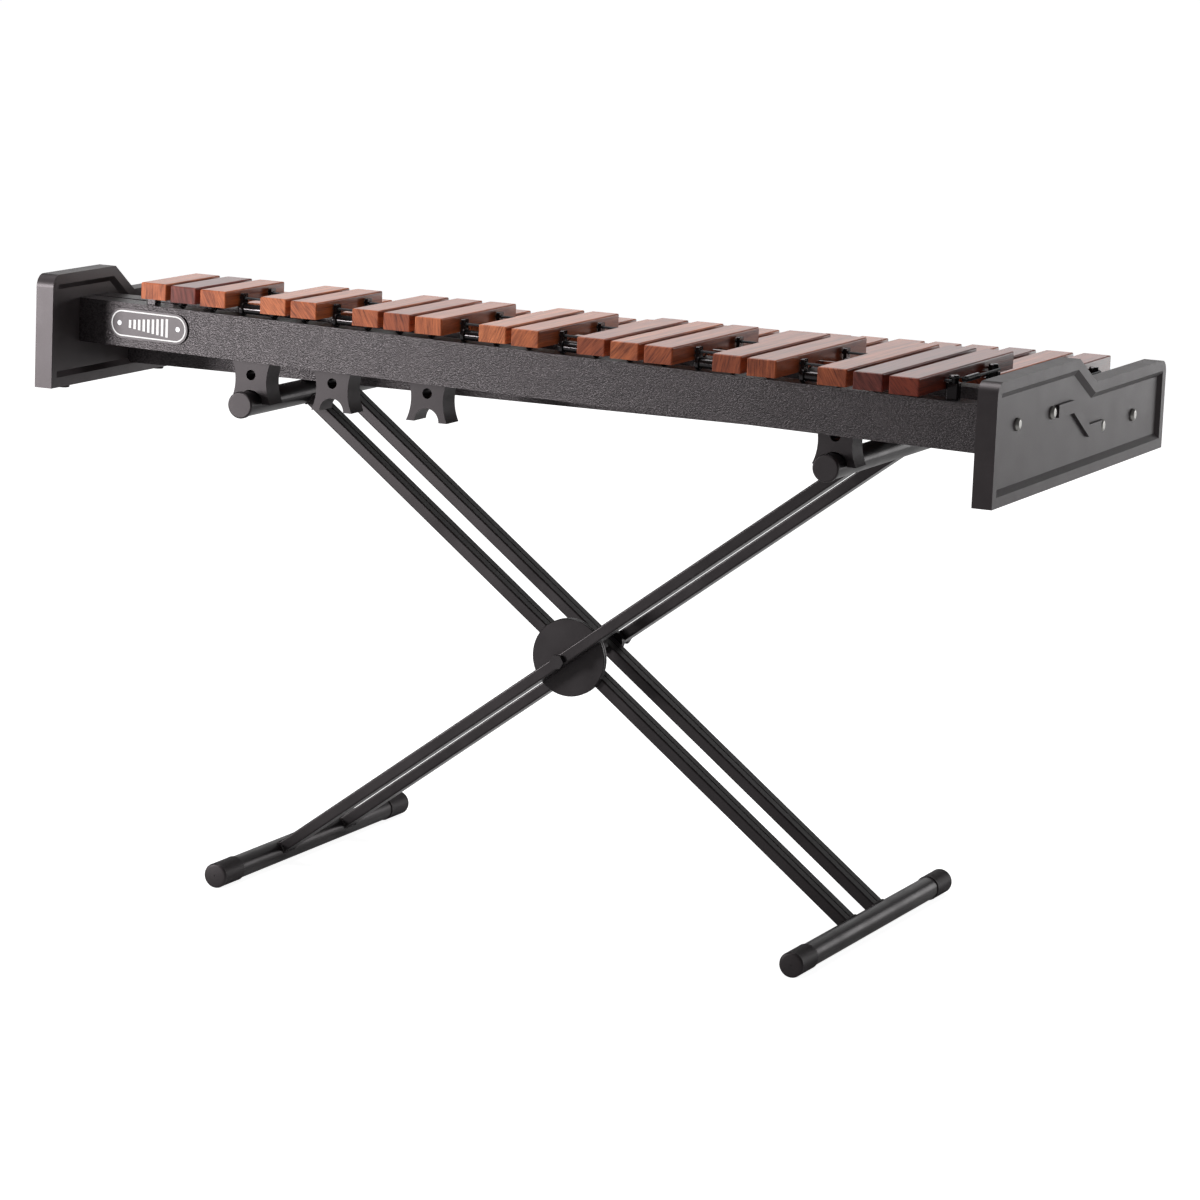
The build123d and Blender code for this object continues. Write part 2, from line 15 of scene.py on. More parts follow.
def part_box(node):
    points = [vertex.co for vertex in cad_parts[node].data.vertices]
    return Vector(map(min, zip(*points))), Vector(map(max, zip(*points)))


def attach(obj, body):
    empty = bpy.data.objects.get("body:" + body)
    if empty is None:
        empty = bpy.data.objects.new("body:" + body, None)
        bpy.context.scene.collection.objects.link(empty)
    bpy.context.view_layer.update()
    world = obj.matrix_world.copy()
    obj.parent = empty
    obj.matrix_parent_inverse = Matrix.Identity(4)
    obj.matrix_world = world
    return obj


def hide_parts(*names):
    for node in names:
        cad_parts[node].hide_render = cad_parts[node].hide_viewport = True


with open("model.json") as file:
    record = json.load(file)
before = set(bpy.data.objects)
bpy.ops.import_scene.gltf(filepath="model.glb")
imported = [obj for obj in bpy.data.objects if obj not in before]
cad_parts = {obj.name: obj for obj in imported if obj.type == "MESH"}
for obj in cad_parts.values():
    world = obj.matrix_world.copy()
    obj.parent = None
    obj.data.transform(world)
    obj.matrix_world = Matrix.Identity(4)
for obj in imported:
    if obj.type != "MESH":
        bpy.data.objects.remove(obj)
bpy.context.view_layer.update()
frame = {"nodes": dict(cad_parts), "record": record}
NODES = frame["nodes"]
MM = 0.001

# ---------------------------------------------------------------- sizes shared with the part, in mm
# A slot is a place along the rows, counted from the high end: the accidentals are at whole slots and
# the naturals halfway between them.
PITCH = 48.0
MID_SLOT = 11.5
MID_X = 22.4               # X of the middle slot
HALF_BAR = 18.75
BAR_THICK = 21.2
NODE_SHARE = 0.27          # the cord crosses each bar at this share of its length
MID_LENGTH = 232.2         # bar length at the middle slot
LENGTH_STEP = 7.89         # extra length for each slot towards the low end
ACC_NEAR = (-251.5, -8.03)     # audience-side end of an accidental at the middle slot, and its step
NAT_FAR = (203.9, 6.557)       # player-side end of a natural, the same way
ACC_TOP = 778.0
ROW_DROP = 32.6            # the naturals lie this much lower
ACC_SLOTS = (0.0, 23.0)    # first and last slot of the row
NAT_SLOTS = (-1.5, 23.5)
RAIL_THICK = 36.0
POST_OFFSET = 8.0          # the front rail's centre line is this far behind its cord
END_CLEAR = 8.8            # from the last bar's edge to an end post's axis
POST_R = 6.0
CORD_R = 1.6
TURN_R = POST_R + CORD_R + 0.2
SPRING_R = 4.0
SPRING_LENGTH = 48.0
SPRING_HOOK = 14.0         # from the front post to the spring's near end
PLATE_X = -551.9
PLATE_Z = 718.0
PLATE_LENGTH = 125.0
PLATE_HEIGHT = 39.0
PLATE_THICK = 2.5
STAND_Y = 82.0
HALF_SPAN = 405.0          # from the pivot to a frame's top or foot tube, along X
FOOT_Z = 16.3
TOP_Z = 630.2
FOOT_TUBE_R = 15.0
TOP_TUBE_R = 16.0
ARM_W = 15.0               # in the plane of the fold
ARM_D = 30.0               # along Y
ARM_OFFSETS = {"outer": 87.0, "inner": 48.0}                   # from the middle of the stand
FOOT_CAP_LENGTH = 52.0
FOOT_CAP_R = 16.3


def slot_of(x):
    return MID_SLOT + (x - MID_X) / PITCH


def x_of(slot):
    return MID_X + PITCH * (slot - MID_SLOT)


def bar_length(x):
    return MID_LENGTH + LENGTH_STEP * (slot_of(x) - MID_SLOT)


def cord_y(row, end, x):
    """The Y of a row's cord at x, on the rail at its front or rear end."""
    share = NODE_SHARE if end == "front" else 1 - NODE_SHARE
    away = slot_of(x) - MID_SLOT
    if row == "accidentals":
        near = ACC_NEAR[0] + ACC_NEAR[1] * away
    else:
        near = NAT_FAR[0] + NAT_FAR[1] * away - bar_length(x)
    return near + share * bar_length(x)


def row_top(row):
    return ACC_TOP if row == "accidentals" else ACC_TOP - ROW_DROP


def cord_z(row):
    return row_top(row) - BAR_THICK / 2


def row_ends(row):
    slots = ACC_SLOTS if row == "accidentals" else NAT_SLOTS
    reach = HALF_BAR + END_CLEAR
    return x_of(slots[1]) + reach, x_of(slots[0]) - reach


# ---------------------------------------------------------------- camera
AZIMUTH = math.radians(24.3249)
ELEVATION = math.radians(10.2636)
ROLL = math.radians(2.3993)
CAMERA_PLACE = (2.45312, -5.32465, 1.46382)
LENS = 139.175
SENSOR = 36.0


def make_camera():
    right = Vector((math.cos(AZIMUTH), math.sin(AZIMUTH), 0))
    back = Vector((math.sin(AZIMUTH) * math.cos(ELEVATION), -math.cos(AZIMUTH) * math.cos(ELEVATION),
                   math.sin(ELEVATION)))
    up = back.cross(right)
    across = right * math.cos(ROLL) + up * math.sin(ROLL)
    upward = up * math.cos(ROLL) - right * math.sin(ROLL)
    data = bpy.data.cameras.new("camera")
    data.lens = LENS
    data.sensor_width = SENSOR
    camera = bpy.data.objects.new("camera", data)
    turn = Matrix((across, upward, back)).transposed().to_4x4()
    camera.matrix_world = Matrix.Translation(CAMERA_PLACE) @ turn
    bpy.context.collection.objects.link(camera)
    bpy.context.scene.camera = camera


make_camera()


# ---------------------------------------------------------------- materials
class Paint:
    """A node material under construction; add() makes a node and links or sets its inputs."""

    def __init__(self, name, **surface):
        self.material = bpy.data.materials.new(name)
        self.material.use_nodes = True
        self.tree = self.material.node_tree
        self.shader = self.tree.nodes["Principled BSDF"]
        for key, value in surface.items():
            self.shader.inputs[key.replace("_", " ")].default_value = value
        self.place = self.add("TexCoord").outputs["Object"]

    def add(self, kind, inputs=None, **settings):
        node = self.tree.nodes.new("ShaderNode" + kind)
        for key, value in settings.items():
            setattr(node, key, value)
        for key, value in (inputs or {}).items():
            if isinstance(value, bpy.types.NodeSocket):
                self.tree.links.new(value, node.inputs[key])
            else:
                node.inputs[key].default_value = value
        return node

    def scaled(self, scale, rotation=(0, 0, 0), source=None):
        mapping = {"Vector": source or self.place, "Scale": scale, "Rotation": rotation}
        return self.add("Mapping", mapping).outputs["Vector"]

    def noise(self, scale, vector=None, detail=3.0, roughness=0.55, distortion=0.0):
        settings = {"Vector": vector or self.place, "Scale": scale, "Detail": detail,
                    "Roughness": roughness, "Distortion": distortion}
        return self.add("TexNoise", settings).outputs["Fac"]

    def ramp(self, fac, stops, interpolation="LINEAR"):
        node = self.add("ValToRGB", {"Fac": fac})
        elements = node.color_ramp.elements
        node.color_ramp.interpolation = interpolation
        elements[0].position, elements[0].color = stops[0][0], (*stops[0][1], 1)
        elements[1].position, elements[1].color = stops[-1][0], (*stops[-1][1], 1)
        for position, colour in stops[1:-1]:
            elements.new(position).color = (*colour, 1)
        return node.outputs["Color"]

    def range(self, value, low, high, from_low=0.0, from_high=1.0):
        settings = {"Value": value, "From Min": from_low, "From Max": from_high, "To Min": low,
                    "To Max": high}
        return self.add("MapRange", settings).outputs["Result"]

    def mix(self, fac, first, second, blend="MIX"):
        node = self.add("Mix", data_type="RGBA", blend_type=blend)
        for index, value in ((0, fac), (6, first), (7, second)):
            if isinstance(value, bpy.types.NodeSocket):
                self.tree.links.new(value, node.inputs[index])
            else:
                node.inputs[index].default_value = value if index == 0 else (*value, 1)
        return node.outputs[2]

    def math(self, operation, first, second=0.0):
        node = self.add("Math", operation=operation)
        for index, value in enumerate((first, second)):
            if isinstance(value, bpy.types.NodeSocket):
                self.tree.links.new(value, node.inputs[index])
            else:
                node.inputs[index].default_value = value
        return node.outputs[0]

    def use(self, **links):
        for key, socket in links.items():
            self.tree.links.new(socket, self.shader.inputs[key.replace("_", " ")])
        return self

    def bump(self, height, strength, depth):
        settings = {"Height": height, "Strength": strength, "Distance": depth}
        return self.use(Normal=self.add("Bump", settings).outputs["Normal"])


# depth of each kind of relief, in metres
GRAIN_DEPTH = 0.0002
PEBBLE_DEPTH = 0.0011
MARKS_DEPTH = 0.0001
WEAVE_DEPTH = 0.0004

PALE = (0.54, 0.160, 0.062)
ORANGE = (0.45, 0.118, 0.042)
RED = (0.35, 0.082, 0.031)
DEEP = (0.23, 0.036, 0.016)
PURPLE = (0.17, 0.036, 0.026)
TONES = {"p": PALE, "o": ORANGE, "r": RED, "d": DEEP, "u": PURPLE}
# one letter for each place in a row, from the high end to the low end
ACC_TONES = "ouo.po.oro.po.ror.rr.rud"
NAT_TONES = "oroprooproprooprorrorrrurd"
RING_TILT = 0.75           # the most that a bar's growth rings lean, in radians
TILT_SPREAD = 12.9         # spreads the lean unevenly from bar to bar
FIGURE_SHIFT = {"X": 0.37, "Y": 1.9, "Z": 0.61}    # moves the figure on from one bar to the next
# scale of each part of the figure, its stretch along the bar, and for some its slant
RING_SCALE, RING_STRETCH, RING_SLANT = 520.0, (1.0, 0.018, 0.09), (0, 0, 0.012)
BAND_SCALE, BAND_STRETCH, BAND_SLANT = 110.0, (1.0, 0.035, 0.22), (0, 0, 0.02)
PORE_SCALE, PORE_STRETCH = 1500.0, (1.0, 0.03, 1.0)
CLOUD_SCALE, CLOUD_STRETCH = 11.0, (1.0, 0.6, 1.0)
# what the tone is multiplied by at each height of the noise, and how strongly
RING_SHADES = [(0.34, (0.30, 0.22, 0.22)), (0.45, (0.78, 0.73, 0.72)),
               (0.57, (1.05, 1.06, 1.06)), (0.72, (1.22, 1.30, 1.32))]
BAND_SHADES = [(0.34, (0.66, 0.60, 0.60)), (0.50, (1.0, 1.0, 1.0)), (0.70, (1.22, 1.28, 1.25))]
CLOUD_SHADES = [(0.3, (0.86, 0.80, 0.84)), (0.7, (1.14, 1.18, 1.10))]
PORE_SHADES = [(0.34, (0.5, 0.45, 0.45)), (0.46, (1, 1, 1))]
RING_WEIGHT, BAND_WEIGHT, CLOUD_WEIGHT, PORE_WEIGHT = 0.8, 0.8, 0.7, 0.5
END_GRAIN_FACING = 0.7     # how squarely a face looks along the bar before it counts as end grain
LONG_ROUGHNESS = 0.32
END_ROUGHNESS = 0.6
LONG_COAT = 0.30
END_COAT = 0.04
RING_RELIEF = 0.6


def bar_wood(name, tones, first_slot):
    """Varnished wood: a tone and ring direction for each bar, long grain along Y, fine pores."""
    paint = Paint(name, Coat_Roughness=0.12, Coat_IOR=1.5, Specular_IOR_Level=0.35)
    axes = paint.add("SeparateXYZ", {"Vector": paint.place}).outputs
    first_x = (x_of(first_slot) - PITCH / 2) * MM
    along = paint.range(axes["X"], 0.0, 1.0, first_x, first_x + PITCH * len(tones) * MM)
    stops = [(index / len(tones), TONES.get(letter, RED)) for index, letter in enumerate(tones)]
    base = paint.ramp(along, stops, "CONSTANT")
    bar_index = paint.math("FLOOR", paint.math("MULTIPLY", along, float(len(tones))))
    shift = paint.add("CombineXYZ", {axis: paint.math("MULTIPLY", bar_index, step)
                                     for axis, step in FIGURE_SHIFT.items()})
    moved = paint.add("VectorMath", {0: paint.place, 1: shift.outputs[0]}, operation="ADD").outputs[0]
    tilt = paint.math("SINE", paint.math("MULTIPLY", bar_index, TILT_SPREAD))
    turn = {"Vector": moved, "Angle": paint.math("MULTIPLY", tilt, RING_TILT)}
    turned = paint.add("VectorRotate", turn, rotation_type="Y_AXIS").outputs["Vector"]
    rings = paint.noise(RING_SCALE, paint.scaled(RING_STRETCH, RING_SLANT, turned),
                        roughness=0.6, distortion=0.25)
    bands = paint.noise(BAND_SCALE, paint.scaled(BAND_STRETCH, BAND_SLANT, turned),
                        roughness=0.6, distortion=0.3)
    pores = paint.noise(PORE_SCALE, paint.scaled(PORE_STRETCH, source=moved), detail=2.0)
    clouds = paint.noise(CLOUD_SCALE, paint.scaled(CLOUD_STRETCH, source=moved), detail=2.0)
    colour = base
    for noise, shades, weight in ((rings, RING_SHADES, RING_WEIGHT), (bands, BAND_SHADES, BAND_WEIGHT),
                                  (clouds, CLOUD_SHADES, CLOUD_WEIGHT), (pores, PORE_SHADES, PORE_WEIGHT)):
        colour = paint.mix(weight, colour, paint.ramp(noise, shades), "MULTIPLY")
    normal = paint.add("NewGeometry").outputs["Normal"]
    facing = paint.add("SeparateXYZ", {"Vector": normal}).outputs["Y"]
    end_grain = paint.math("GREATER_THAN", paint.math("ABSOLUTE", facing), END_GRAIN_FACING)
    paint.use(Base_Color=colour, Roughness=paint.range(end_grain, LONG_ROUGHNESS, END_ROUGHNESS),
              Coat_Weight=paint.range(end_grain, LONG_COAT, END_COAT))
    relief = paint.math("ADD", pores, paint.math("MULTIPLY", rings, RING_RELIEF))
    return paint.bump(relief, strength=0.10, depth=GRAIN_DEPTH)


WARM_SHEEN = (1.0, 0.90, 0.93, 1.0)     # the faint warm cast of the black plastics and paint
PEBBLE_SCALE = 420.0
PEBBLE_STRETCH = (1.0, 1.0, 1.7)
PEBBLE_SLANT = (0.0, 0.75, 0.0)
# the vinyl's black, lighter on the pebbles and darker in the crevices between them: painted shade in the
# crevices
PEBBLE_TONE_AND_CREVICE_SHADE = [(0.1, (0.044, 0.039, 0.041)), (0.6, (0.006, 0.005, 0.0055))]
WRINKLE_SCALE = 800.0
WRINKLE_RELIEF = 0.5
PATCH_SCALE = 14.0
PATCH_SHADES = [(0.3, (0.80, 0.80, 0.82)), (0.7, (1.15, 1.12, 1.12))]


def vinyl(name):
    """Black pebbled cloth-backed vinyl, its grain running on a slant; painted shade darkens the crevices
    between the pebbles.
    """
    paint = Paint(name, IOR=1.5, Specular_Tint=WARM_SHEEN)
    slanted = paint.scaled(PEBBLE_STRETCH, PEBBLE_SLANT)
    cells = paint.add("TexVoronoi", {"Vector": slanted, "Scale": PEBBLE_SCALE, "Randomness": 0.85},
                      feature="SMOOTH_F1").outputs["Distance"]
    wrinkles = paint.noise(WRINKLE_SCALE, slanted)
    patches = paint.noise(PATCH_SCALE)
    pebbles = paint.math("MULTIPLY", cells, -1.0)
    height = paint.math("ADD", pebbles, paint.math("MULTIPLY", wrinkles, WRINKLE_RELIEF))
    # the colour follows the pebble relief, darker where the surface is lower: painted shade in the
    # crevices
    tone_and_crevice_shade = paint.ramp(cells, PEBBLE_TONE_AND_CREVICE_SHADE)
    colour = paint.mix(0.8, tone_and_crevice_shade, paint.ramp(patches, PATCH_SHADES), "MULTIPLY")
    paint.use(Base_Color=colour, Roughness=paint.range(cells, 0.26, 0.44))
    return paint.bump(height, strength=0.6, depth=PEBBLE_DEPTH)


MOTTLE_SCALE = 30.0
WEAR_SCALE = 16.0
PEEL_SCALE = 520.0
MARKS_SCALE = 900.0
TARNISH_SCALE = 120.0


def moulded(name, colour, roughness, grain, strength, mottle=0.18):
    """Moulded plastic with a fine spark-eroded texture, a little uneven in colour and sheen."""
    paint = Paint(name, IOR=1.5, Specular_Tint=WARM_SHEEN)
    grit = paint.noise(grain, detail=2.0)
    cloud = paint.noise(MOTTLE_SCALE)
    dark = tuple(c * (1 - mottle) for c in colour)
    light = tuple(c * (1 + mottle) for c in colour)
    blend = paint.math("ADD", paint.math("MULTIPLY", grit, 0.5), paint.math("MULTIPLY", cloud, 0.5))
    tone = paint.ramp(blend, [(0.35, dark), (0.65, light)])
    paint.use(Base_Color=tone, Roughness=paint.range(cloud, roughness * 0.95, roughness * 1.06, 0.3, 0.7))
    return paint.bump(grit, strength, depth=GRAIN_DEPTH)


def powder_coat(name, colour, roughness):
    """Satin black powder coat with a faint orange-peel surface and rubbed places."""
    paint = Paint(name, IOR=1.45, Specular_Tint=WARM_SHEEN)
    peel = paint.noise(PEEL_SCALE, detail=2.0)
    wear = paint.noise(WEAR_SCALE, detail=4.0)
    dark = tuple(c * 0.8 for c in colour)
    light = tuple(c * 1.25 for c in colour)
    tone = paint.ramp(wear, [(0.3, dark), (0.7, light)])
    paint.use(Base_Color=tone, Roughness=paint.range(wear, roughness * 0.85, roughness * 1.2, 0.3, 0.7))
    return paint.bump(peel, strength=0.12, depth=GRAIN_DEPTH)


def bright_metal(name, colour, roughness):
    """Plated steel with fine polishing marks and slightly tarnished patches."""
    paint = Paint(name, Metallic=1.0)
    marks = paint.noise(MARKS_SCALE)
    tarnish = paint.noise(TARNISH_SCALE)
    tone = paint.ramp(tarnish, [(0.3, tuple(c * 0.78 for c in colour)), (0.65, colour)])
    paint.use(Base_Color=tone, Roughness=paint.range(marks, roughness * 0.7, roughness * 1.4))
    return paint.bump(marks, strength=0.06, depth=MARKS_DEPTH)


STRAND_SCALE = 420.0
STRAND_SLANT = 0.75
STRAND_TONES = [(0.2, (0.012, 0.012, 0.014)), (0.9, (0.06, 0.06, 0.066))]


def braid(name):
    """Braided cord: two crossed sets of fine strands."""
    paint = Paint(name, Roughness=0.7, Sheen_Weight=0.3)
    strands = []
    for angle in (STRAND_SLANT, -STRAND_SLANT):
        turned = paint.scaled((1, 1, 1), (angle, angle * 0.6, angle))
        settings = {"Vector": turned, "Scale": STRAND_SCALE, "Distortion": 0.6, "Detail": 1.0}
        strands.append(paint.add("TexWave", settings).outputs["Fac"])
    weave = paint.math("MAXIMUM", *strands)
    paint.use(Base_Color=paint.ramp(weave, STRAND_TONES))
    return paint.bump(weave, strength=0.6, depth=WEAVE_DEPTH)


FINISHES = {
    "wood_accidental": bar_wood("wood_accidental", ACC_TONES, ACC_SLOTS[0]),
    "wood_natural": bar_wood("wood_natural", NAT_TONES, NAT_SLOTS[0]),
    "rail_vinyl": vinyl("rail_vinyl"),
    "panel_plastic": moulded("panel_plastic", (0.036, 0.0305, 0.032), 0.40, 1500.0, 0.3),
    "foot_rubber": moulded("foot_rubber", (0.012, 0.012, 0.012), 0.7, 900.0, 0.35),
    "screw_nickel": bright_metal("screw_nickel", (0.40, 0.39, 0.37), 0.30),
    "plate_plastic": moulded("plate_plastic", (0.026, 0.025, 0.026), 0.38, 1600.0, 0.12),
    "plate_screw": bright_metal("plate_screw", (0.32, 0.32, 0.33), 0.38),
    "post_plastic": moulded("post_plastic", (0.006, 0.006, 0.0065), 0.16, 700.0, 0.04),
    "spring_steel": bright_metal("spring_steel", (0.09, 0.09, 0.092), 0.32),
    "cord": braid("cord"),
    "saddle_plastic": moulded("saddle_plastic", (0.013, 0.011, 0.012), 0.46, 1100.0, 0.3),
    "cap_plastic": moulded("cap_plastic", (0.013, 0.011, 0.012), 0.44, 1200.0, 0.3),
    "bolt_steel": powder_coat("bolt_steel", (0.010, 0.0095, 0.010), 0.32),
    "stand_steel": powder_coat("stand_steel", (0.0085, 0.0075, 0.008), 0.34),
    "trim_white": moulded("trim_white", (0.78, 0.78, 0.77), 0.5, 1500.0, 0.1, 0.04),
}


def finish(obj, slot, material=None):
    obj.data.materials.clear()
    obj.data.materials.append(FINISHES[material or slot].material)
    return obj


for subpart in frame["record"]["subparts"]:
    for material_slot in NODES[subpart["node"]].material_slots:
        material_slot.material = FINISHES[subpart["material_slot"]].material


# ---------------------------------------------------------------- mesh helpers
SHARP_ANGLE = 40.0


def mesh_piece(name, points, faces, slot, body, material=None, smooth=True):
    mesh = bpy.data.meshes.new(name)
    mesh.from_pydata([tuple(p) for p in points], [], faces)
    mesh.validate()
    obj = bpy.data.objects.new(name, mesh)
    bpy.context.collection.objects.link(obj)
    for polygon in mesh.polygons:
        polygon.use_smooth = smooth
    if smooth:
        mesh.set_sharp_from_angle(angle=math.radians(SHARP_ANGLE))
    finish(obj, slot, material)
    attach(obj, body)
    return obj


def ring_mesh(rings, closed=False):
    """Points and faces of a skin over rings of equal size, with flat ends unless it is closed."""
    count = len(rings[0])
    points = [p for ring in rings for p in ring]
    faces = []
    spans = len(rings) if closed else len(rings) - 1
    for i in range(spans):
        here, there = i * count, (i + 1) % len(rings) * count
        for j in range(count):
            k = (j + 1) % count
            faces.append((here + j, here + k, there + k, there + j))
    if not closed:
        faces.append(tuple(reversed(range(count))))
        faces.append(tuple(range(len(points) - count, len(points))))
    return points, faces


def tube_rings(path, radius, sides=10, closed=False):
    """Rings of a round tube along a path; radius is a number or a function of the point's index."""
    path = [Vector(p) for p in path]
    rings = []
    normal = None
    last = len(path) - 1
    for i, point in enumerate(path):
        before = path[i - 1] if i or closed else point
        after = path[(i + 1) % len(path)] if i < last or closed else point
        tangent = (after - before).normalized()
        if normal is None:
            normal = tangent.orthogonal().normalized()
        normal = (normal - tangent * normal.dot(tangent)).normalized()
        side = tangent.cross(normal)
        r = radius(i) if callable(radius) else radius
        rings.append([point + (normal * math.cos(a) + side * math.sin(a)) * r
                      for a in (2 * math.pi * n / sides for n in range(sides))])
    return rings


def join(*parts):
    points, faces = [], []
    for more_points, more_faces in parts:
        start = len(points)
        points += list(more_points)
        faces += [tuple(i + start for i in face) for face in more_faces]
    return points, faces


def in_metres(part):
    return [Vector(p) * MM for p in part[0]], part[1]


# ---------------------------------------------------------------- cords and springs
STRAIGHT_DIAMETERS = 6     # how far from a turn the cord runs straight
WIRE_R = 0.65
WIRE_SIDES = 8
COIL_PITCH = 1.5
COIL_SIDES = 18
COIL_CLEAR = 0.1           # inside the spring's outer radius
HOOK_CLEAR = 0.15          # between the wire and the post
HOOK_LIFT = 3.4
HOOK_STEPS = 15
HOOK_STEP_ANGLE = 15.0
# the wire between the coil and the hook: share of the coil's radius or mm aside, mm back, mm up
HOOK_BEND = (0.7, 3.0, 1.5)
HOOK_START = (0.2, 8.0)


def make_cord(row):
    """The cord through a row of bars: along the rear rail, across, and back along the front one."""
    low_x, high_x = row_ends(row)
    low_run, high_run = low_x + TURN_R, high_x - TURN_R
    hook_y = cord_y(row, "front", low_x) + TURN_R
    corners = [(low_run, hook_y + SPRING_HOOK + SPRING_LENGTH),
               (low_run, cord_y(row, "rear", low_run)),
               (high_run, cord_y(row, "rear", high_run)),
               (high_run, cord_y(row, "front", high_run)),
               (low_x, cord_y(row, "front", low_x))]
    corners = [Vector((x, y, cord_z(row))) for x, y in corners]
    straight = STRAIGHT_DIAMETERS * 2 * CORD_R
    points = [corners[0]]
    for before, corner, after in zip(corners, corners[1:], corners[2:]):
        points.append(corner + (before - corner).normalized() * straight)
        points.append(corner)
        points.append(corner + (after - corner).normalized() * straight)
    points.append(corners[-1])
    curve = bpy.data.curves.new("cord_line_" + row, "CURVE")
    curve.dimensions = "3D"
    curve.bevel_depth = CORD_R * MM
    curve.bevel_resolution = 4
    curve.resolution_u = 12
    curve.use_fill_caps = True
    spline = curve.splines.new("NURBS")
    spline.points.add(len(points) - 1)
    for target, point in zip(spline.points, points):
        target.co = (*(point * MM), 1)
    spline.order_u = 3
    spline.use_endpoint_u = True
    obj = bpy.data.objects.new("cord_line_" + row, curve)
    bpy.context.collection.objects.link(obj)
    finish(obj, "cord")
    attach(obj, "instrument")
    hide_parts("cord_" + row)


def make_spring(row):
    """A close-wound tension spring with a hook over the low end's front post."""
    low_x, _ = row_ends(row)
    axis_x = low_x + TURN_R
    post = Vector((low_x, cord_y(row, "front", low_x) + TURN_R, cord_z(row)))
    start_y = post.y + SPRING_HOOK
    coil_r = SPRING_R - WIRE_R - COIL_CLEAR
    turns = int((SPRING_LENGTH - 2 * WIRE_R) / COIL_PITCH)
    coil = []
    for n in range(turns * COIL_SIDES + 1):
        angle = 2 * math.pi * n / COIL_SIDES
        coil.append((axis_x + coil_r * math.cos(angle), start_y + WIRE_R + COIL_PITCH * n / COIL_SIDES,
                     post.z + coil_r * math.sin(angle)))
    loop_r = POST_R + WIRE_R + HOOK_CLEAR
    hook_z = post.z + HOOK_LIFT
    bend_share, bend_back, bend_up = HOOK_BEND
    hook = [(axis_x + coil_r, start_y + WIRE_R, post.z),
            (axis_x + coil_r * bend_share, start_y - bend_back, post.z + bend_up),
            (axis_x + HOOK_START[0], start_y - HOOK_START[1], hook_z)]
    for n in range(HOOK_STEPS):
        angle = math.radians(-HOOK_STEP_ANGLE * n)
        hook.append((post.x + loop_r * math.cos(angle), post.y + loop_r * math.sin(angle), hook_z))
    wires = [ring_mesh(tube_rings(path, WIRE_R, WIRE_SIDES)) for path in (coil, hook)]
    body = in_metres(join(*wires))
    obj = mesh_piece("spring_" + row, *body, "spring_steel", "instrument")
    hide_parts("cord_spring_" + row)


for row_name in ("accidentals", "naturals"):
    make_cord(row_name)
    make_spring(row_name)


# ---------------------------------------------------------------- name plate trim
RAIL_SLOPE = (ACC_NEAR[1] + NODE_SHARE * LENGTH_STEP) / PITCH
RAIL_TURN = math.atan(RAIL_SLOPE)


def rail_face_place(x, z, out):
    """A place on the front rail's audience face, looking outwards: local X along it, local Y up."""
    y = cord_y("accidentals", "front", x) + POST_OFFSET - RAIL_THICK / 2 / math.cos(RAIL_TURN)
    turn = Matrix.Rotation(RAIL_TURN, 4, "Z") @ Matrix.Rotation(math.pi / 2, 4, "X")
    normal = Vector((math.sin(RAIL_TURN), -math.cos(RAIL_TURN), 0))
    return Matrix.Translation((Vector((x, y, z)) + normal * out) * MM) @ turn


def stadium(length, height, steps=20):
    half = (length - height) / 2
    r = height / 2
    points = []
    for side, start in ((1, -90), (-1, 90)):
        for n in range(steps + 1):
            angle = math.radians(start + 180 * n / steps)
            points.append((side * half + r * math.cos(angle), r * math.sin(angle)))
    return points


def slab(outline, place, thick, hole=None):
    """A thin plate over an outline, or the band between an outline and a hole of as many points."""
    flat = [place @ Vector((x * MM, y * MM, 0)) for x, y in outline]
    lift = place.to_3x3() @ Vector((0, 0, thick * MM))
    if hole is None:
        return ring_mesh([flat, [p + lift for p in flat]])
    inner = [place @ Vector((x * MM, y * MM, 0)) for x, y in hole]
    return ring_mesh([flat, [p + lift for p in flat], [p + lift for p in inner], inner], closed=True)


BORDER_IN = 2.6
BORDER_WIDTH = 1.7
TRIM_THICK = 0.25
MARK_BARS = 9
MARK_STEP = 7.4
MARK_BAR_WIDTH = 3.8
MARK_SMALLEST = 5.2
MARK_GROWTH = 0.85


def make_plate_trim():
    """A white border line and a plain mark: a row of bars that grow from left to right."""
    face = rail_face_place(PLATE_X, PLATE_Z, PLATE_THICK)
    outer = stadium(PLATE_LENGTH - 2 * BORDER_IN, PLATE_HEIGHT - 2 * BORDER_IN)
    inside = BORDER_IN + BORDER_WIDTH
    inner = stadium(PLATE_LENGTH - 2 * inside, PLATE_HEIGHT - 2 * inside)
    mesh_piece("plate_border", *slab(outer, face, TRIM_THICK, inner), "plate_screw", "instrument",
               "trim_white", smooth=False)
    parts = []
    for n in range(MARK_BARS):
        x = (n - (MARK_BARS - 1) / 2) * MARK_STEP
        half_h = MARK_SMALLEST + MARK_GROWTH * n
        half_w = MARK_BAR_WIDTH / 2
        left, right = x - half_w, x + half_w
        outline = [(left, -half_h), (right, -half_h), (right, half_h), (left, half_h)]
        parts.append(slab(outline, face, TRIM_THICK))
    mesh_piece("plate_mark", *join(*parts), "plate_screw", "instrument", "trim_white", smooth=False)


make_plate_trim()


# ---------------------------------------------------------------- stand trim
CAP_RIBS = 34              # waves of the knurl round a foot cap
KNURL_DEPTH = 0.9
KNURL_START = 4.0
KNURL_PITCH = 3.0
KNURL_ROWS = 15
KNURL_STEPS = 4            # points in one wave of the knurl, round the cap and along it
